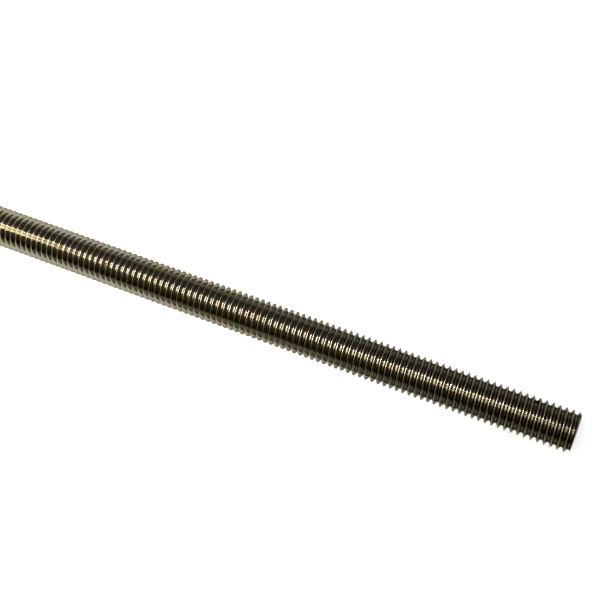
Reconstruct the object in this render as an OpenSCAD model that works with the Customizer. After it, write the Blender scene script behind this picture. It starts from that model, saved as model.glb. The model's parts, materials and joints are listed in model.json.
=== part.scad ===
// A metric threaded rod: one steel bar with a rolled thread from end to end,
// lying along X. The origin is on the rod's axis, at the middle of its length.
// The thread is drawn as one ring groove per pitch, with the true section of
// the helical thread.

/* [Rod] */
// Length between the two end faces
rod_length = 150; // [20:0.5:300]
// Major diameter, over the thread crests
major_d = 8; // [4:0.5:24]

/* [Thread] */
// Pitch, from one crest to the next
pitch = 1.25; // [0.8:0.05:3]
// Angle between the two flanks of a groove, in degrees
flank_angle = 60; // [55:1:60]
// Width of the flat left on top of each crest
crest_flat = 0.16; // [0.05:0.01:0.4]
// Radius of the rounded root at the bottom of each groove
root_r = 0.18; // [0.05:0.01:0.25]

/* [Ends] */
// Size of the 45-degree chamfer around each end face
end_chamfer = 0.5; // [0.1:0.05:1.2]

/* [Hidden] */
$fn = 96;
// how far a cutting shape reaches past the surface it cuts
overcut = 0.2;

major_r = major_d / 2;
half_length = rod_length / 2;
half_angle = flank_angle / 2;
groove_mouth = pitch - crest_flat;
// radius at which the two flanks would meet if the root were sharp
sharp_r = major_r - groove_mouth / 2 / tan(half_angle);
// centre of the root's arc, and the two points where it meets the flanks
root_centre_r = sharp_r + root_r / sin(half_angle);
tangent_r = root_centre_r - root_r * sin(half_angle);
tangent_y = root_r * cos(half_angle);
// grooves on each side of the middle crest
grooves_each_side = ceil(half_length / pitch);

// Section of the bare bar: X is the radius and Y runs along the rod.
module bar_section() {
    face_r = major_r - end_chamfer;
    polygon([
        [0, -half_length],
        [face_r, -half_length],
        [major_r, -half_length + end_chamfer],
        [major_r, half_length - end_chamfer],
        [face_r, half_length],
        [0, half_length],
    ]);
}

// Section of one groove, centred on Y = 0: two straight flanks and a round root.
module groove_section() {
    mouth_r = major_r + overcut;
    mouth_y = (mouth_r - sharp_r) * tan(half_angle);
    polygon([
        [tangent_r, -tangent_y],
        [mouth_r, -mouth_y],
        [mouth_r, mouth_y],
        [tangent_r, tangent_y],
    ]);
    translate([root_centre_r, 0]) circle(r = root_r);
}

module threaded_rod() {
    color([0.27, 0.25, 0.19])
    rotate([0, 90, 0])
    rotate_extrude()
    difference() {
        bar_section();
        for (i = [-grooves_each_side : grooves_each_side - 1])
            translate([0, (i + 0.5) * pitch]) groove_section();
    }
}

threaded_rod();
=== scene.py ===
import json
import math

import bmesh
import bpy
from mathutils import Matrix, Vector


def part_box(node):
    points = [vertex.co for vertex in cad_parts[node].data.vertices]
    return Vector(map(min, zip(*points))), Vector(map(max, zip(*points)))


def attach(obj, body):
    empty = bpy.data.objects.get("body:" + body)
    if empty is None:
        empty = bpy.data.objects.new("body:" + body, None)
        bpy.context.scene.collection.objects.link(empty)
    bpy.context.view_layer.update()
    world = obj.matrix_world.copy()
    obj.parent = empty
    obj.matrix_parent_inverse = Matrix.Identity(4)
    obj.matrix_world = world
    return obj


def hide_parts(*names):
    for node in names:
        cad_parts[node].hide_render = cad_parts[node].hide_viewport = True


bl_info = {
    "name": "Threaded Rod",
    "version": (1, 0, 0),
    "blender": (4, 5, 0),
    "location": "3D View > Sidebar > Rod",
    "description": "A threaded rod with its helical thread, and a studio to see it in",
    "category": "Add Mesh",
}

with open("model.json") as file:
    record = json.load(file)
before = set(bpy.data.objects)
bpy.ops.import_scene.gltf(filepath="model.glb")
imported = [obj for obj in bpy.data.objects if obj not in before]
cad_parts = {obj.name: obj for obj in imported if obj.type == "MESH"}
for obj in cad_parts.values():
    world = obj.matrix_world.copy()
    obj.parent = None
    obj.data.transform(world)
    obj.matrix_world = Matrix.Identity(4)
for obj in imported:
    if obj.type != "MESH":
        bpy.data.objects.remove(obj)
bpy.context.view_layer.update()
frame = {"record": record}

NODE = "threaded_rod"
MOUNTS = {mount["name"]: mount for mount in frame["record"]["mounts"]}
MAJOR_RADIUS = MOUNTS["thread"]["dims"]["r_mm"] / 1000
ROD_LENGTH = MOUNTS["end_face_plus_x"]["pos_m"][0] - MOUNTS["end_face_minus_x"]["pos_m"][0]
FLOOR_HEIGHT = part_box(NODE)[0].z

# points closer than these are one point, on a whole mesh and along a cut
MERGE_DISTANCE = 1e-6
CUT_DISTANCE = 1e-8
# faces that meet at less than this are shaded as one curved surface
SMOOTH_ANGLE = math.radians(14)
# spans across each rounded corner of the thread's outline
CORNER_SPANS = 2
# turns of thread that are made past the two ends and cut off again
SPARE_TURNS = 4
# turns of thread next to an end that are looked at to chamfer it
CHAMFERED_TURNS = 3
# a face whose normal leans this far along X is one of the two end faces
END_FACE_LEAN = 0.99

# how far below the crest its rubbed steel starts, and where it is fully rubbed
CREST_REACH = 0.0001
CREST_CORE = 0.00002
# how far above the groove's bottom the painted shade starts, and where it is full
GROOVE_SHADE_REACH = 0.00012
GROOVE_SHADE_CORE = 0.00002
# heights of the finest unevenness of the thread, of the saw marks and of the pits between them
THREAD_BUMP = 0.0000005
SAW_BUMP = 0.000004
CUT_PIT_BUMP = 0.000001
# turn of the saw marks about the rod
SAW_ANGLE = math.radians(35)

# the Mix node's colour sockets, which share their names with others
MIX_FIRST_COLOUR = 6
MIX_SECOND_COLOUR = 7
MIX_COLOUR_RESULT = 2

WHITE = (1, 1, 1)


class RodSizes(bpy.types.PropertyGroup):
    """The sizes of the rod and its thread"""

    length: bpy.props.FloatProperty(
        name="Length", description="Distance between the two end faces",
        default=ROD_LENGTH, min=0.02, precision=4, unit="LENGTH")
    major_radius: bpy.props.FloatProperty(
        name="Major radius", description="Radius over the thread crests",
        default=MAJOR_RADIUS, min=0.0015, precision=5, unit="LENGTH")
    pitch: bpy.props.FloatProperty(
        name="Pitch", description="Distance from one crest to the next",
        default=0.00125, min=0.0005, precision=5, unit="LENGTH")
    flank_angle: bpy.props.FloatProperty(
        name="Flank angle", description="Angle between the two flanks of the groove",
        default=math.radians(60), min=math.radians(50), max=math.radians(65), subtype="ANGLE")
    crest_flat: bpy.props.FloatProperty(
        name="Crest flat", description="Width of the flat left on top of the crest",
        default=0.0001, min=0.00005, precision=6, unit="LENGTH")
    crest_rounding: bpy.props.FloatProperty(
        name="Crest rounding", description="How far the crest's two corners are rounded off",
        default=0.00002, min=0.00001, precision=6, unit="LENGTH")
    root_flat: bpy.props.FloatProperty(
        name="Root flat",
        description="Width of the groove's bottom, before its corners are rounded",
        default=0.00032, min=0.00005, precision=6, unit="LENGTH")
    root_radius: bpy.props.FloatProperty(
        name="Root radius", description="Radius of the two corners at the bottom of the groove",
        default=0.00005, min=0.00002, precision=6, unit="LENGTH")
    end_chamfer: bpy.props.FloatProperty(
        name="End chamfer", description="Size of the 45-degree chamfer at each end",
        default=0.0005, min=0.0001, precision=5, unit="LENGTH")
    run_out_angle: bpy.props.FloatProperty(
        name="Run-out angle",
        description="Where around the rod a crest meets the +X end face, from +Y towards +Z",
        default=math.radians(96.83), subtype="ANGLE")
    steps_per_turn: bpy.props.IntProperty(
        name="Steps per turn", description="Faces around one turn of the thread",
        default=60, min=24, max=96)


class RodFinish(bpy.types.PropertyGroup):
    """The colours, the polish, the dirt and the painted shade of the steel"""

    steel: bpy.props.FloatVectorProperty(
        name="Steel", description="Colour of the rolled steel",
        default=(0.28, 0.274, 0.207), size=3, min=0, max=1, subtype="COLOR")
    olive: bpy.props.FloatVectorProperty(
        name="Olive", description="Colour of the steel where its thin coat is greenish",
        default=(0.252, 0.286, 0.132), size=3, min=0, max=1, subtype="COLOR")
    rose: bpy.props.FloatVectorProperty(
        name="Rose", description="Colour of the steel where its thin coat is reddish",
        default=(0.335, 0.253, 0.195), size=3, min=0, max=1, subtype="COLOR")
    worn: bpy.props.FloatVectorProperty(
        name="Worn crest", description="Colour of the crests, rubbed dull",
        default=(0.243, 0.232, 0.197), size=3, min=0, max=1, subtype="COLOR")
    # the root colour is painted shade at the groove's bottom and on the chamfer; on the end faces
    # it colours the oil in the saw marks
    root: bpy.props.FloatVectorProperty(
        name="Root", description="Colour of the steel at the bottom of the groove, under more oil",
        default=(0.064, 0.059, 0.044), size=3, min=0, max=1, subtype="COLOR")
    grime: bpy.props.FloatVectorProperty(
        name="Grime", description="Colour of the dried oil and dirt",
        default=(0.03, 0.025, 0.018), size=3, min=0, max=1, subtype="COLOR")
    crumb: bpy.props.FloatVectorProperty(
        name="Crumb", description="Colour of the black crumb of dirt",
        default=(0.006, 0.005, 0.004), size=3, min=0, max=1, subtype="COLOR")
    cut_steel: bpy.props.FloatVectorProperty(
        name="Cut steel", description="Colour of the sawn end faces",
        default=(0.36, 0.345, 0.3), size=3, min=0, max=1, subtype="COLOR")
    flank_roughness: bpy.props.FloatProperty(
        name="Flank roughness", description="Roughness of the rolled flanks",
        default=0.07, min=0, max=1, subtype="FACTOR")
    crest_roughness: bpy.props.FloatProperty(
        name="Crest roughness", description="Roughness of the crests",
        default=0.24, min=0, max=1, subtype="FACTOR")
    root_roughness: bpy.props.FloatProperty(
        name="Root roughness", description="Roughness of the bottom of the groove",
        default=0.2, min=0, max=1, subtype="FACTOR")
    cut_roughness: bpy.props.FloatProperty(
        name="Cut roughness", description="Roughness of the sawn end faces",
        default=0.34, min=0, max=1, subtype="FACTOR")
    edge_tint: bpy.props.FloatProperty(
        name="Edge tint", description="How much the steel still shines at grazing angles",
        default=0.32, min=0, max=1, subtype="FACTOR")
    patch_size: bpy.props.FloatProperty(
        name="Patch size", description="Size of the greenish and reddish patches of the coat",
        default=0.003, min=0.0005, precision=5, unit="LENGTH")
    speck_place: bpy.props.FloatVectorProperty(
        name="Speck place", description="Where a black crumb of dirt sticks in a groove",
        default=(0.0667, 0.0033, 0.0013), size=3, subtype="XYZ", unit="LENGTH")
    speck_size: bpy.props.FloatProperty(
        name="Speck size", description="Distance from the middle of the crumb to its edge",
        default=0.0008, min=0.0001, precision=5, unit="LENGTH")
    smear_place: bpy.props.FloatVectorProperty(
        name="Smear place", description="Where a smear of oil dulls the thread",
        default=(-0.0217, -0.0003, 0.0036), size=3, subtype="XYZ", unit="LENGTH")
    smear_size: bpy.props.FloatProperty(
        name="Smear size", description="Distance from the middle of the smear to its edge",
        default=0.0008, min=0.0001, precision=5, unit="LENGTH")


class StudioSettings(bpy.types.PropertyGroup):
    """The floor, the lights and the camera"""

    camera_place: bpy.props.FloatVectorProperty(
        name="Camera place", description="Where the camera is",
        default=(0.066574, 0.0, 0.196575), size=3, subtype="XYZ", unit="LENGTH")
    camera_target: bpy.props.FloatVectorProperty(
        name="Camera target",
        description="The point level with the rod's axis that the camera looks at",
        default=(0.017861, 0.006229, 0.0), size=3, subtype="XYZ", unit="LENGTH")
    camera_turn: bpy.props.FloatProperty(
        name="Camera turn",
        description="How far the camera is turned about its view from +Y upwards",
        default=math.radians(-19.837), subtype="ANGLE")
    lens: bpy.props.FloatProperty(
        name="Lens", description="Focal length on a 36 mm wide film",
        default=62.17, min=20, subtype="DISTANCE_CAMERA")
    lamp_distance: bpy.props.FloatProperty(
        name="Lamp distance", description="From the rod's axis to the two long lamps",
        default=1.4, min=0.1, unit="LENGTH")
    lamp_length: bpy.props.FloatProperty(
        name="Lamp length", description="Length of the two lamps, along the rod",
        default=0.97, min=0.05, unit="LENGTH")
    lamp_middle: bpy.props.FloatProperty(
        name="Lamp middle", description="Where the lamps' middle is, along the rod",
        default=-0.415, unit="LENGTH")
    back_lamp_angle: bpy.props.FloatProperty(
        name="Back lamp angle", description="Where the back lamp hangs, from -Y towards +Z",
        default=math.radians(104.5), subtype="ANGLE")
    back_lamp_width: bpy.props.FloatProperty(
        name="Back lamp width", description="Width of the back lamp",
        default=0.14, min=0.002, unit="LENGTH")
    back_lamp_power: bpy.props.FloatProperty(
        name="Back lamp power", description="Power of the back lamp in watts",
        default=19.3, min=0)
    back_lamp_colour: bpy.props.FloatVectorProperty(
        name="Back lamp colour", description="Colour of the back lamp",
        default=(1.0, 0.895, 0.92), size=3, min=0, max=1, subtype="COLOR")
    back_lamp_share: bpy.props.FloatProperty(
        name="Back lamp share",
        description="Strength of the back lamp's +X end, beside its -X end's",
        default=1.7, min=0, max=2)
    front_lamp_angle: bpy.props.FloatProperty(
        name="Front lamp angle", description="Where the front lamp hangs, from -Y towards +Z",
        default=math.radians(86.5), subtype="ANGLE")
    front_lamp_width: bpy.props.FloatProperty(
        name="Front lamp width", description="Width of the front lamp",
        default=0.40, min=0.002, unit="LENGTH")
    front_lamp_power: bpy.props.FloatProperty(
        name="Front lamp power", description="Power of the front lamp in watts",
        default=27.2, min=0)
    front_lamp_colour: bpy.props.FloatVectorProperty(
        name="Front lamp colour", description="Colour of the front lamp",
        default=(1.0, 0.895, 0.71), size=3, min=0, max=1, subtype="COLOR")
    front_lamp_share: bpy.props.FloatProperty(
        name="Front lamp share",
        description="Strength of the front lamp's +X end, beside its -X end's",
        default=0.55, min=0, max=2)
    room_front: bpy.props.FloatProperty(
        name="Room light, front", description="Brightness of the room on the -Y side",
        default=0.06, min=0)
    room_back: bpy.props.FloatProperty(
        name="Room light, overhead",
        description="Brightness of the room overhead, which falls off towards the +Y side",
        default=0.42, min=0)
    room_front_colour: bpy.props.FloatVectorProperty(
        name="Room colour, front", description="Colour of the room on the -Y side",
        default=(1.0, 0.8, 0.4), size=3, min=0, max=1, subtype="COLOR")
    room_back_colour: bpy.props.FloatVectorProperty(
        name="Room colour, back", description="Colour of the room overhead and on the +Y side",
        default=(1.0, 0.95, 0.86), size=3, min=0, max=1, subtype="COLOR")
    horizon: bpy.props.FloatProperty(
        name="Horizon", description="Brightness added to the room just over the floor's far edge",
        default=0.5, min=0)
    floor_size: bpy.props.FloatProperty(
        name="Floor size", description="Length of the floor's sides",
        default=40.0, min=0.5, unit="LENGTH")
    floor_colour: bpy.props.FloatVectorProperty(
        name="Floor", description="Colour of the floor",
        default=(0.23, 0.23, 0.23), size=3, min=0, max=1, subtype="COLOR")
    floor_glow: bpy.props.FloatProperty(
        name="Floor glow",
        description="White added to the floor where it is seen or reflected, by the rod's +X end",
        default=0.76, min=0)
    floor_glow_far: bpy.props.FloatProperty(
        name="Floor glow, far",
        description="White added to the floor where it is seen or reflected, on the -X side",
        default=1.1, min=0)
    glow_start: bpy.props.FloatProperty(
        name="Glow start", description="Where along the rod the floor's glow starts to grow",
        default=0.065, unit="LENGTH")
    glow_end: bpy.props.FloatProperty(
        name="Glow end", description="Where along the rod the floor's glow is full",
        default=0.0, unit="LENGTH")


# The thread


def groove_depth(sizes):
    """How far the groove's flat bottom lies below the crests."""
    flank_run = (sizes.pitch - sizes.crest_flat - sizes.root_flat) / 2
    return flank_run / math.tan(sizes.flank_angle / 2)


def round_corners(bm, corners, reach):
    """Rounds corners of a wire outline, from a distance reach on either side of each."""
    bmesh.ops.bevel(
        bm, geom=corners, offset=reach, offset_type="OFFSET", segments=CORNER_SPANS,
        profile=0.5, affect="VERTICES", material=-1)


def add_section(bm, sizes):
    """One pitch of the thread's outline, in the XZ plane with a crest at X = 0."""
    top = sizes.major_radius
    depth = groove_depth(sizes)
    half_crest = sizes.crest_flat / 2
    half_root = sizes.root_flat / 2
    middle = -sizes.pitch / 2
    start_x = (middle - half_root - sizes.pitch + half_crest) / 2
    start = bm.verts.new((start_x, 0, top - depth / 2))
    roots = [bm.verts.new((middle + side * half_root, 0, top - depth)) for side in (-1, 1)]
    crests = [bm.verts.new((side * half_crest, 0, top)) for side in (-1, 1)]
    end = bm.verts.new(start.co + Vector((sizes.pitch, 0, 0)))
    chain = [start, *roots, *crests, end]
    for a, b in zip(chain, chain[1:]):
        bm.edges.new((a, b))
    corner_turn = math.pi / 2 - sizes.flank_angle / 2
    round_corners(bm, roots, sizes.root_radius * math.tan(corner_turn / 2))
    tops = [v for v in bm.verts if abs(v.co.z - top) < CUT_DISTANCE]
    round_corners(bm, tops, sizes.crest_rounding)


def sweep_thread(bm, sizes):
    """Turns the section once along the helix, then doubles the turns until they pass both ends."""
    bmesh.ops.spin(
        bm, geom=bm.verts[:] + bm.edges[:], cent=(0, 0, 0), axis=(1, 0, 0),
        dvec=(sizes.pitch / sizes.steps_per_turn, 0, 0), angle=math.tau,
        steps=sizes.steps_per_turn, use_merge=False)
    turns = 1
    needed = math.ceil(sizes.length / sizes.pitch) + SPARE_TURNS
    while turns < needed:
        copy = bmesh.ops.duplicate(bm, geom=bm.verts[:] + bm.edges[:] + bm.faces[:])
        verts = [part for part in copy["geom"] if isinstance(part, bmesh.types.BMVert)]
        bmesh.ops.translate(bm, verts=verts, vec=(turns * sizes.pitch, 0, 0))
        turns *= 2
    bmesh.ops.remove_doubles(bm, verts=bm.verts[:], dist=MERGE_DISTANCE)
    # the crest that leaves X = 0 at the top of the rod is moved to run out at the +X end
    crest_at_run_out = sizes.pitch * (sizes.run_out_angle - math.pi / 2) / math.tau
    turns_before_end = needed - SPARE_TURNS / 2
    shift = sizes.length / 2 - crest_at_run_out - turns_before_end * sizes.pitch
    bmesh.ops.translate(bm, verts=bm.verts[:], vec=(shift, 0, 0))


def cut_off(bm, geometry, point, normal):
    """Cuts off what lies past a plane and closes the cut. Returns what is left of the geometry."""
    result = bmesh.ops.bisect_plane(
        bm, geom=geometry, dist=CUT_DISTANCE, plane_co=point, plane_no=normal, clear_outer=True)
    rim = [part for part in result["geom_cut"] if isinstance(part, bmesh.types.BMEdge)]
    closed = bmesh.ops.holes_fill(bm, edges=rim, sides=0)
    left = [part for part in result["geom"] if part.is_valid]
    return left + closed["faces"]


def near_end(bm, end_x, reach):
    """The geometry within reach of one end."""
    bm.edges.index_update()
    bm.faces.index_update()
    verts = [v for v in bm.verts if abs(v.co.x - end_x) < reach]
    edges = {e for v in verts for e in v.link_edges}
    faces = {f for v in verts for f in v.link_faces}
    return verts + sorted(edges, key=lambda e: e.index) + sorted(faces, key=lambda f: f.index)


def trim_ends(bm, sizes):
    """Cuts both ends square and chamfers them, with planes that go round the end in small steps."""
    face_radius = sizes.major_radius - sizes.end_chamfer
    for side in (-1, 1):
        end_x = side * sizes.length / 2
        cut_off(bm, bm.verts[:] + bm.edges[:] + bm.faces[:], (end_x, 0, 0), (side, 0, 0))
    for side in (-1, 1):
        end_x = side * sizes.length / 2
        left = near_end(bm, end_x, CHAMFERED_TURNS * sizes.pitch)
        for step in range(sizes.steps_per_turn):
            turn = Matrix.Rotation(math.tau * step / sizes.steps_per_turn, 3, "X")
            point = turn @ Vector((end_x, 0, face_radius))
            normal = turn @ Vector((side, 0, 1)).normalized()
            left = cut_off(bm, left, point, normal)


def finish_mesh(bm, name, materials):
    """Makes an object of the mesh. The end faces take the second material."""
    bmesh.ops.dissolve_degenerate(bm, edges=bm.edges[:], dist=CUT_DISTANCE)
    bmesh.ops.recalc_face_normals(bm, faces=bm.faces[:])
    open_edges = [e for e in bm.edges if not e.is_manifold]
    if open_edges:
        raise RuntimeError(f"the thread has {len(open_edges)} open edges")
    for face in bm.faces:
        face.material_index = int(abs(face.normal.x) > END_FACE_LEAN)
    mesh = bpy.data.meshes.new(name)
    bm.to_mesh(mesh)
    mesh.shade_smooth()
    mesh.set_sharp_from_angle(angle=SMOOTH_ANGLE)
    for material in materials:
        mesh.materials.append(material)
    piece = bpy.data.objects.new(name, mesh)
    bpy.context.scene.collection.objects.link(piece)
    return piece


# Node helpers


def put(tree, socket, value):
    """Links an output to a socket, or sets the socket's own value."""
    if isinstance(value, bpy.types.NodeSocket):
        tree.links.new(value, socket)
    else:
        socket.default_value = value


def node(tree, kind, inputs, **settings):
    """Adds a node. Inputs go by name or number, and each is a value or another node's output."""
    made = tree.nodes.new(kind)
    for name, value in settings.items():
        setattr(made, name, value)
    for key, value in inputs.items():
        put(tree, made.inputs[key], value)
    return made


def calc(tree, operation, a, b):
    """A Math node's result."""
    return node(tree, "ShaderNodeMath", {0: a, 1: b}, operation=operation).outputs[0]


def share(tree, value, part, start=0.0):
    """A part of a value, added to what there is at the start."""
    made = node(
        tree, "ShaderNodeMath", {0: value, 1: part, 2: start}, operation="MULTIPLY_ADD")
    return made.outputs[0]


def ramp(tree, value, low, high, to_low=0.0, to_high=1.0):
    """The value carried smoothly from one range to another."""
    made = node(
        tree, "ShaderNodeMapRange",
        {"Value": value, "From Min": low, "From Max": high, "To Min": to_low, "To Max": to_high},
        interpolation_type="SMOOTHSTEP")
    return made.outputs["Result"]


def blend(tree, factor, a, b):
    """A mix of two colours, each an output or three numbers."""
    colours = [
        colour if isinstance(colour, bpy.types.NodeSocket) else (*colour, 1) for colour in (a, b)]
    made = node(tree, "ShaderNodeMix", {"Factor": factor}, data_type="RGBA")
    put(tree, made.inputs[MIX_FIRST_COLOUR], colours[0])
    put(tree, made.inputs[MIX_SECOND_COLOUR], colours[1])
    return made.outputs[MIX_COLOUR_RESULT]


def noise(tree, vector, w, scale, detail, roughness=0.5):
    """A 4D noise texture's value."""
    made = node(
        tree, "ShaderNodeTexNoise",
        {"Vector": vector, "W": w, "Scale": scale, "Detail": detail, "Roughness": roughness},
        noise_dimensions="4D")
    return made.outputs[0]


def add_bump(tree, shader, layers):
    """Adds bumps one on another, from (height, distance) pairs."""
    normal = None
    for height, distance in layers:
        inputs = {"Height": height, "Distance": distance}
        if normal is not None:
            inputs["Normal"] = normal
        normal = node(tree, "ShaderNodeBump", inputs).outputs["Normal"]
    tree.links.new(normal, shader.inputs["Normal"])


# Shared effects


def new_group(name, inputs, outputs):
    """A shader node group with these sockets, as (name, kind, default) and names."""
    tree = bpy.data.node_groups.new(name, "ShaderNodeTree")
    for label, kind, value in inputs:
        socket = tree.interface.new_socket(label, in_out="INPUT", socket_type=kind)
        socket.default_value = value
    for label in outputs:
        tree.interface.new_socket(label, in_out="OUTPUT", socket_type="NodeSocketFloat")
    given = tree.nodes.new("NodeGroupInput").outputs
    result = tree.nodes.new("NodeGroupOutput").inputs
    return tree, given, result


def use_group(tree, group, **inputs):
    """Places a node group in a material with its own values and gives its outputs."""
    made = tree.nodes.new("ShaderNodeGroup")
    made.node_tree = group
    for name, value in inputs.items():
        put(tree, made.inputs[name], value)
    return made.outputs


# noise values where a patch and a stain start, and where they are full
PATCH_START = 0.48
PATCH_FULL = 0.66
STAIN_START = 0.45
STAIN_FULL = 0.7
# scale of the stains beside that of the patches, and how rough their edges are
STAIN_SCALE = 0.45
STAIN_DETAIL = 4.0
STAIN_RAGGEDNESS = 0.62
PATCH_DETAIL = 2.0
# steps in the noise's fourth coordinate that set the red patches and the stains apart
RED_STEP = 7.3
STAIN_STEP = 13.9


def build_patches():
    """Soft patches that come and go over a few millimetres, as an oily coat's do."""
    tree, given, result = new_group(
        "coat_patches",
        [("Vector", "NodeSocketVector", (0, 0, 0)), ("Scale", "NodeSocketFloat", 260.0),
         ("Seed", "NodeSocketFloat", 0.0)],
        ["Green", "Red", "Stain"])
    vector = given["Vector"]
    scale = given["Scale"]
    red_seed = calc(tree, "ADD", given["Seed"], RED_STEP)
    stain_seed = calc(tree, "ADD", given["Seed"], STAIN_STEP)
    stain_scale = calc(tree, "MULTIPLY", scale, STAIN_SCALE)
    green = noise(tree, vector, given["Seed"], scale, PATCH_DETAIL)
    red = noise(tree, vector, red_seed, scale, PATCH_DETAIL)
    stain = noise(tree, vector, stain_seed, stain_scale, STAIN_DETAIL, STAIN_RAGGEDNESS)
    put(tree, result["Green"], ramp(tree, green, PATCH_START, PATCH_FULL))
    put(tree, result["Red"], ramp(tree, red, PATCH_START, PATCH_FULL))
    put(tree, result["Stain"], ramp(tree, stain, STAIN_START, STAIN_FULL))
    return tree


# how fast the broad and the narrow lines change along their own length
BROAD_LINE_SCALE = 90.0
NARROW_LINE_SCALE = 260.0
BROAD_LINE_DETAIL = 3.0
BROAD_LINE_RAGGEDNESS = 0.6
NARROW_LINE_DETAIL = 2.0
# how much finer the narrow lines are, and how the two kinds are mixed
NARROW_FINENESS = 3.1
BROAD_SHARE = 0.65
NARROW_SHARE = 0.35
# values where a line starts and where it is full
LINE_START = 0.35
LINE_FULL = 0.65


def build_tool_marks():
    """Fine lines left by a tool: they lie where the across value is the same."""
    tree, given, result = new_group(
        "tool_marks",
        [("Vector", "NodeSocketVector", (0, 0, 0)), ("Across", "NodeSocketFloat", 0.0),
         ("Fineness", "NodeSocketFloat", 24000.0)],
        ["Lines", "Height"])
    w = calc(tree, "MULTIPLY", given["Across"], given["Fineness"])
    narrow_w = calc(tree, "MULTIPLY", w, NARROW_FINENESS)
    broad = noise(
        tree, given["Vector"], w, BROAD_LINE_SCALE, BROAD_LINE_DETAIL, BROAD_LINE_RAGGEDNESS)
    narrow = noise(tree, given["Vector"], narrow_w, NARROW_LINE_SCALE, NARROW_LINE_DETAIL)
    both = share(tree, broad, BROAD_SHARE, share(tree, narrow, NARROW_SHARE))
    put(tree, result["Lines"], ramp(tree, both, LINE_START, LINE_FULL))
    put(tree, result["Height"], both)
    return tree


# scale, place and detail of the grain beside the pits
GRAIN_SCALE = 0.6
GRAIN_SEED = 2.0
GRAIN_DETAIL = 3.0
# distances from a pit's middle to its floor's edge and to its rim, as shares of its cell
PIT_FLOOR = 0.05
PIT_RIM = 0.3
# grain values where a speck starts and where it is full
SPECK_START = 0.58
SPECK_FULL = 0.7
# shares of the pits and the grain in the height
PIT_SHARE = 0.6
GRAIN_SHARE = 0.8


def build_pits():
    """Tiny pits and specks scattered over a surface."""
    tree, given, result = new_group(
        "fine_pits",
        [("Vector", "NodeSocketVector", (0, 0, 0)), ("Scale", "NodeSocketFloat", 9000.0)],
        ["Specks", "Height"])
    cells = node(
        tree, "ShaderNodeTexVoronoi", {"Vector": given["Vector"], "Scale": given["Scale"]},
        feature="F1")
    grain_scale = calc(tree, "MULTIPLY", given["Scale"], GRAIN_SCALE)
    grain = noise(tree, given["Vector"], GRAIN_SEED, grain_scale, GRAIN_DETAIL)
    pit = ramp(tree, cells.outputs["Distance"], PIT_FLOOR, PIT_RIM)
    put(tree, result["Specks"], ramp(tree, grain, SPECK_START, SPECK_FULL))
    put(tree, result["Height"], share(tree, pit, PIT_SHARE, share(tree, grain, GRAIN_SHARE)))
    return tree


# the noise that makes a spot's edge ragged
EDGE_SEED = 5.0
EDGE_SCALE = 4000.0
EDGE_DETAIL = 2.0
# distance in spot sizes, with that noise added, where a spot starts and where it is full
SPOT_START = 1.5
SPOT_FULL = 1.2


def build_spot():
    """One spot of dirt with a ragged edge, around a point."""
    tree, given, result = new_group(
        "dirt_spot",
        [("Vector", "NodeSocketVector", (0, 0, 0)), ("Middle", "NodeSocketVector", (0, 0, 0)),
         ("Size", "NodeSocketFloat", 0.0005)],
        ["Mask"])
    away = node(
        tree, "ShaderNodeVectorMath", {0: given["Vector"], 1: given["Middle"]},
        operation="DISTANCE").outputs["Value"]
    edge = noise(tree, given["Vector"], EDGE_SEED, EDGE_SCALE, EDGE_DETAIL)
    ragged = calc(tree, "ADD", calc(tree, "DIVIDE", away, given["Size"]), edge)
    put(tree, result["Mask"], ramp(tree, ragged, SPOT_START, SPOT_FULL))
    return tree


# Materials


def new_metal(name, finish):
    """A new metal: its material, node tree, shader, object coordinates and radius from the axis."""
    material = bpy.data.materials.new(name)
    material.use_nodes = True
    tree = material.node_tree
    shader = tree.nodes["Principled BSDF"]
    tint = finish.edge_tint
    shader.inputs["Specular Tint"].default_value = (tint, tint, tint, 1)
    vector = tree.nodes.new("ShaderNodeTexCoord").outputs["Object"]
    flat = node(tree, "ShaderNodeVectorMath", {0: vector, 1: (0, 1, 1)}, operation="MULTIPLY")
    radius = node(tree, "ShaderNodeVectorMath", {0: flat.outputs[0]}, operation="LENGTH")
    return material, tree, shader, vector, radius.outputs["Value"]


# where the patches lie on the thread, and how fine its drawn lines, pits and waves are
THREAD_SEED = 1.7
THREAD_LINES = 24000.0
THREAD_PITS = 9000.0
WAVE_SCALE = 700.0
WAVE_LINES = 1200.0
WAVE_DETAIL = 1.0
# how much of each colour shows where its mask is full
THREAD_OLIVE = 0.8
THREAD_ROSE = 0.7
THREAD_LINE_GRIME = 0.3
THREAD_WORN = 0.8
# the chamfer's darkening to the root colour is painted shade
CHAMFER_SHADE = 0.85
THREAD_SPECK_GRIME = 0.3
SMEAR_GRIME = 0.6
# roughness that each mask adds where it is full
THREAD_LINE_ROUGH = 0.03
THREAD_STAIN_ROUGH = 0.04
SMEAR_ROUGH = 0.3
CRUMB_ROUGH = 0.5


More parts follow.
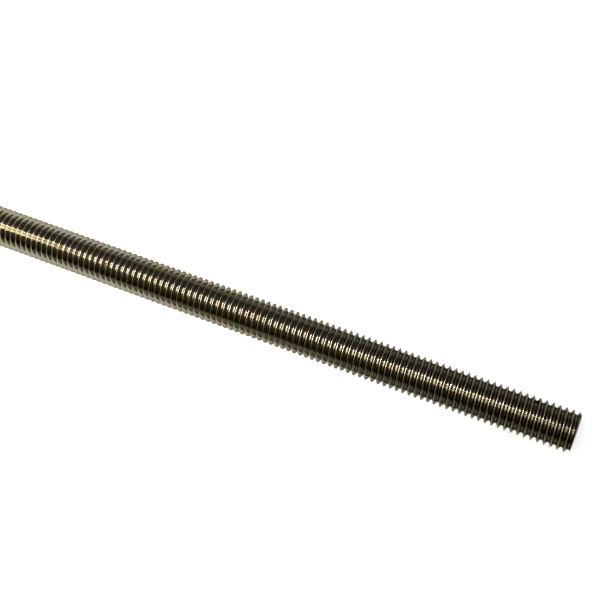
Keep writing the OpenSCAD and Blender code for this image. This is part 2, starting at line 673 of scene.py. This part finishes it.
def make_thread_steel(groups, sizes, finish):
    """Rolled steel: dull crests, polished flanks, an uneven coat, painted shade in the roots and on
    the chamfer, two spots.
    """
    material, tree, shader, vector, radius = new_metal("rolled_thread_steel", finish)
    top = sizes.major_radius
    root = top - groove_depth(sizes)
    crest = ramp(tree, radius, top - CREST_REACH, top - CREST_CORE)
    # this mask is painted shade: it darkens the groove's bottom towards the root colour
    oil = ramp(tree, radius, root + GROOVE_SHADE_REACH, root + GROOVE_SHADE_CORE)
    along = node(tree, "ShaderNodeSeparateXYZ", {"Vector": vector}).outputs["X"]
    from_middle = calc(tree, "ABSOLUTE", along, 0.0)
    end_x = sizes.length / 2
    # the chamfer band, which is darkened below as painted shade
    chamfer = ramp(tree, from_middle, end_x - sizes.end_chamfer, end_x - sizes.end_chamfer / 2)
    patches = use_group(
        tree, groups["patches"], Vector=vector, Scale=1 / finish.patch_size, Seed=THREAD_SEED)
    marks = use_group(
        tree, groups["marks"], Vector=vector, Across=radius, Fineness=THREAD_LINES)
    pits = use_group(tree, groups["pits"], Vector=vector, Scale=THREAD_PITS)
    speck = use_group(
        tree, groups["spot"], Vector=vector, Middle=finish.speck_place,
        Size=finish.speck_size)["Mask"]
    smear = use_group(
        tree, groups["spot"], Vector=vector, Middle=finish.smear_place,
        Size=finish.smear_size)["Mask"]
    colour = finish.steel
    for mask, part, over in (
            (patches["Green"], THREAD_OLIVE, finish.olive),
            (patches["Red"], THREAD_ROSE, finish.rose),
            (marks["Lines"], THREAD_LINE_GRIME, finish.grime),
            # painted shade: the groove's bottom darkened to the root colour
            (oil, 1.0, finish.root),
            (crest, THREAD_WORN, finish.worn),
            # painted shade: the chamfer darkened to the root colour
            (chamfer, CHAMFER_SHADE, finish.root),
            (pits["Specks"], THREAD_SPECK_GRIME, finish.grime),
            (smear, SMEAR_GRIME, finish.grime),
            (speck, 1.0, finish.crumb)):
        colour = blend(tree, share(tree, mask, part), colour, over)
    rough = share(tree, marks["Lines"], THREAD_LINE_ROUGH, finish.flank_roughness)
    rough = share(tree, patches["Stain"], THREAD_STAIN_ROUGH, rough)
    rough = share(tree, crest, finish.crest_roughness - finish.flank_roughness, rough)
    rough = share(tree, oil, finish.root_roughness - finish.flank_roughness, rough)
    rough = share(tree, smear, SMEAR_ROUGH, rough)
    rough = share(tree, speck, CRUMB_ROUGH, rough)
    wave_w = calc(tree, "MULTIPLY", radius, WAVE_LINES)
    wave = noise(tree, vector, wave_w, WAVE_SCALE, WAVE_DETAIL)
    put(tree, shader.inputs["Base Color"], colour)
    shader.inputs["Metallic"].default_value = 1.0
    put(tree, shader.inputs["Roughness"], rough)
    add_bump(tree, shader, [
        (wave, THREAD_BUMP), (marks["Height"], THREAD_BUMP), (pits["Height"], THREAD_BUMP)])
    return material


# where the patches lie on the end faces, and how fine their saw marks and pits are
CUT_SEED = 4.2
CUT_LINES = 9000.0
CUT_PITS = 6000.0
# scale of the patches on the end faces beside that on the thread
CUT_PATCH_SCALE = 2
# where the browner rim starts, as a share of the end face's radius
RIM_START = 0.6
# how much of each colour shows where its mask is full
CUT_OLIVE = 0.4
CUT_RIM = 0.6
CUT_LINE_OIL = 0.35
CUT_SPECK_GRIME = 0.4
# roughness that each mask adds where it is full
CUT_LINE_ROUGH = 0.12
CUT_STAIN_ROUGH = 0.1


def make_cut_steel(groups, sizes, finish):
    """Sawn steel: straight saw marks and a coat that is browner towards the rim."""
    material, tree, shader, vector, radius = new_metal("cut_end_steel", finish)
    turned = node(
        tree, "ShaderNodeMapping", {"Vector": vector, "Rotation": (SAW_ANGLE, 0, 0)})
    across = node(
        tree, "ShaderNodeSeparateXYZ", {"Vector": turned.outputs["Vector"]}).outputs["Y"]
    face_radius = sizes.major_radius - sizes.end_chamfer
    rim = ramp(tree, radius, RIM_START * face_radius, face_radius)
    patch_scale = CUT_PATCH_SCALE / finish.patch_size
    patches = use_group(
        tree, groups["patches"], Vector=vector, Scale=patch_scale, Seed=CUT_SEED)
    marks = use_group(tree, groups["marks"], Vector=vector, Across=across, Fineness=CUT_LINES)
    pits = use_group(tree, groups["pits"], Vector=vector, Scale=CUT_PITS)
    colour = finish.cut_steel
    for mask, part, over in (
            (patches["Green"], CUT_OLIVE, finish.olive),
            (rim, CUT_RIM, finish.steel),
            (marks["Lines"], CUT_LINE_OIL, finish.root),
            (pits["Specks"], CUT_SPECK_GRIME, finish.grime)):
        colour = blend(tree, share(tree, mask, part), colour, over)
    rough = share(tree, marks["Lines"], CUT_LINE_ROUGH, finish.cut_roughness)
    rough = share(tree, patches["Stain"], CUT_STAIN_ROUGH, rough)
    put(tree, shader.inputs["Base Color"], colour)
    shader.inputs["Metallic"].default_value = 1.0
    put(tree, shader.inputs["Roughness"], rough)
    add_bump(tree, shader, [(marks["Height"], SAW_BUMP), (pits["Height"], CUT_PIT_BUMP)])
    return material


class ROD_OT_add_rod(bpy.types.Operator):
    """Model the threaded rod in place of its plain frame part"""

    bl_idname = "threaded_rod.add_rod"
    bl_label = "Add Threaded Rod"

    def execute(self, context):
        sizes = context.scene.rod_sizes
        finish = context.scene.rod_finish
        groups = {
            "patches": build_patches(),
            "marks": build_tool_marks(),
            "pits": build_pits(),
            "spot": build_spot(),
        }
        materials = [
            make_thread_steel(groups, sizes, finish),
            make_cut_steel(groups, sizes, finish),
        ]
        bm = bmesh.new()
        add_section(bm, sizes)
        sweep_thread(bm, sizes)
        trim_ends(bm, sizes)
        piece = finish_mesh(bm, "threaded_rod_helix", materials)
        bm.free()
        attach(piece, "root")
        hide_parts(NODE)
        return {"FINISHED"}


# The studio

SENSOR_WIDTH = 36
NEAREST_SEEN = 0.01
# how far along a lamp its strength starts to change towards its +X end
LAMP_CHANGE_START = 0.4
FLOOR_ROUGHNESS = 0.9
# direction's Y where the front's light and colour start, and where they are full
FRONT_LIGHT_START = -0.42
FRONT_LIGHT_FULL = -0.92
FRONT_COLOUR_START = 0.0
FRONT_COLOUR_FULL = -0.6
# direction's Y where the light falls off towards the +Y side, where it has, and what is left
BACK_LIGHT_START = 0.5
BACK_LIGHT_FULL = 0.95
BACK_LIGHT_SHARE = 0.7
# direction's Z where the pale band over the floor starts, and where it is full
PALE_START = 0.2
PALE_FULL = 0.0
# direction's X where that band starts, and where it is full
PALE_SIDE_START = 0.5
PALE_SIDE_FULL = -0.1
# direction's Z where the floor's own brightness fades in, all round
EDGE_START = 0.12
EDGE_FULL = 0.03


def add_camera(scene, studio):
    """Places the camera, looking down on the rod."""
    place = Vector(studio.camera_place)
    forward = (Vector(studio.camera_target) - place).normalized()
    right = forward.cross(Vector((0, 1, 0))).normalized()
    upright = Matrix((right, right.cross(forward), -forward)).transposed()
    turned = Matrix.Rotation(studio.camera_turn, 3, forward) @ upright
    data = bpy.data.cameras.new("camera")
    data.lens = studio.lens
    data.sensor_width = SENSOR_WIDTH
    data.clip_start = NEAREST_SEEN
    camera = bpy.data.objects.new("camera", data)
    camera.matrix_world = Matrix.Translation(place) @ turned.to_4x4()
    scene.collection.objects.link(camera)
    scene.camera = camera


def add_long_lamp(scene, studio, name, angle, width, power, colour, plus_x_share):
    """A long lamp over the rod, in line with it, whose +X end has its own strength."""
    data = bpy.data.lights.new(name, "AREA")
    data.shape = "RECTANGLE"
    data.size = studio.lamp_length
    data.size_y = width
    data.energy = power
    data.color = colour
    data.use_nodes = True
    tree = data.node_tree
    along_lamp = node(
        tree, "ShaderNodeSeparateXYZ",
        {"Vector": tree.nodes.new("ShaderNodeNewGeometry").outputs["Parametric"]}).outputs["X"]
    strength = ramp(tree, along_lamp, LAMP_CHANGE_START, 1.0, 1.0, plus_x_share)
    put(tree, tree.nodes["Emission"].inputs["Strength"], strength)
    lamp = bpy.data.objects.new(name, data)
    out = Vector((0, -math.cos(angle), math.sin(angle)))
    along = Vector((1, 0, 0))
    turned = Matrix((along, out.cross(along), out)).transposed()
    place = along * studio.lamp_middle + out * studio.lamp_distance
    lamp.matrix_world = Matrix.Translation(place) @ turned.to_4x4()
    scene.collection.objects.link(lamp)


def add_floor(scene, studio):
    """A plain floor at the rod's lowest point, which shows white in a mirror and to the eye."""
    bm = bmesh.new()
    bmesh.ops.create_grid(bm, x_segments=1, y_segments=1, size=studio.floor_size / 2)
    bmesh.ops.translate(bm, verts=bm.verts[:], vec=(0, 0, FLOOR_HEIGHT))
    mesh = bpy.data.meshes.new("floor")
    bm.to_mesh(mesh)
    bm.free()
    floor = bpy.data.objects.new("floor", mesh)
    scene.collection.objects.link(floor)
    material = bpy.data.materials.new("floor")
    material.use_nodes = True
    tree = material.node_tree
    shader = tree.nodes["Principled BSDF"]
    shader.inputs["Base Color"].default_value = (*studio.floor_colour, 1)
    shader.inputs["Roughness"].default_value = FLOOR_ROUGHNESS
    shader.inputs["Specular IOR Level"].default_value = 0.0
    shader.inputs["Emission Color"].default_value = (*WHITE, 1)
    path = tree.nodes.new("ShaderNodeLightPath").outputs
    seen = calc(tree, "MAXIMUM", path["Is Camera Ray"], path["Is Glossy Ray"])
    seen = calc(tree, "MAXIMUM", seen, path["Is Transmission Ray"])
    along = node(
        tree, "ShaderNodeSeparateXYZ",
        {"Vector": tree.nodes.new("ShaderNodeTexCoord").outputs["Object"]}).outputs["X"]
    glow = ramp(
        tree, along, studio.glow_start, studio.glow_end, studio.floor_glow, studio.floor_glow_far)
    put(tree, shader.inputs["Emission Strength"], calc(tree, "MULTIPLY", seen, glow))
    mesh.materials.append(material)


def add_room(scene, studio):
    """The room's own light: soft overhead, dark and warm at the front, pale at the floor's edge."""
    world = bpy.data.worlds.new("room")
    scene.world = world
    world.use_nodes = True
    tree = world.node_tree
    direction = tree.nodes.new("ShaderNodeTexCoord").outputs["Generated"]
    parts = node(tree, "ShaderNodeSeparateXYZ", {"Vector": direction}).outputs
    light = ramp(
        tree, parts["Y"], FRONT_LIGHT_FULL, FRONT_LIGHT_START, studio.room_front, studio.room_back)
    back_share = ramp(tree, parts["Y"], BACK_LIGHT_FULL, BACK_LIGHT_START, BACK_LIGHT_SHARE, 1.0)
    light = calc(tree, "MULTIPLY", light, back_share)
    front = ramp(tree, parts["Y"], FRONT_COLOUR_START, FRONT_COLOUR_FULL)
    low = ramp(tree, parts["Z"], PALE_START, PALE_FULL)
    far_end = ramp(tree, parts["X"], PALE_SIDE_START, PALE_SIDE_FULL)
    pale = calc(tree, "MULTIPLY", low, far_end)
    edge = ramp(tree, parts["Z"], EDGE_START, EDGE_FULL)
    tone = blend(tree, front, studio.room_back_colour, studio.room_front_colour)
    background = tree.nodes["Background"]
    colour = blend(tree, calc(tree, "MAXIMUM", pale, edge), tone, WHITE)
    strength = calc(
        tree, "MAXIMUM", share(tree, pale, studio.horizon, light),
        calc(tree, "MULTIPLY", edge, studio.floor_glow))
    put(tree, background.inputs["Color"], colour)
    put(tree, background.inputs["Strength"], strength)


class ROD_OT_add_studio(bpy.types.Operator):
    """Set up the floor, the lights and the camera"""

    bl_idname = "threaded_rod.add_studio"
    bl_label = "Add Studio"

    def execute(self, context):
        scene = context.scene
        studio = scene.rod_studio
        add_camera(scene, studio)
        add_floor(scene, studio)
        add_room(scene, studio)
        add_long_lamp(
            scene, studio, "back_lamp", studio.back_lamp_angle, studio.back_lamp_width,
            studio.back_lamp_power, studio.back_lamp_colour, studio.back_lamp_share)
        add_long_lamp(
            scene, studio, "front_lamp", studio.front_lamp_angle, studio.front_lamp_width,
            studio.front_lamp_power, studio.front_lamp_colour, studio.front_lamp_share)
        scene.view_settings.view_transform = "Standard"
        return {"FINISHED"}


class ROD_PT_sidebar(bpy.types.Panel):
    """The rod's and the studio's settings and buttons"""

    bl_idname = "ROD_PT_sidebar"
    bl_label = "Threaded Rod"
    bl_space_type = "VIEW_3D"
    bl_region_type = "UI"
    bl_category = "Rod"

    def draw(self, context):
        scene = context.scene
        for title, settings in (
                ("Sizes", scene.rod_sizes), ("Finish", scene.rod_finish),
                ("Studio", scene.rod_studio)):
            box = self.layout.box()
            box.label(text=title)
            for name in settings.__annotations__:
                box.prop(settings, name)
        for operator in (ROD_OT_add_rod, ROD_OT_add_studio):
            self.layout.operator(operator.bl_idname)


CLASSES = (
    RodSizes, RodFinish, StudioSettings, ROD_OT_add_rod, ROD_OT_add_studio, ROD_PT_sidebar)


def register():
    for cls in CLASSES:
        bpy.utils.register_class(cls)
    bpy.types.Scene.rod_sizes = bpy.props.PointerProperty(type=RodSizes)
    bpy.types.Scene.rod_finish = bpy.props.PointerProperty(type=RodFinish)
    bpy.types.Scene.rod_studio = bpy.props.PointerProperty(type=StudioSettings)


def unregister():
    del bpy.types.Scene.rod_studio
    del bpy.types.Scene.rod_finish
    del bpy.types.Scene.rod_sizes
    for cls in reversed(CLASSES):
        bpy.utils.unregister_class(cls)


def main():
    register()
    bpy.ops.threaded_rod.add_rod()
    bpy.ops.threaded_rod.add_studio()


if __name__ == "__main__":
    main()
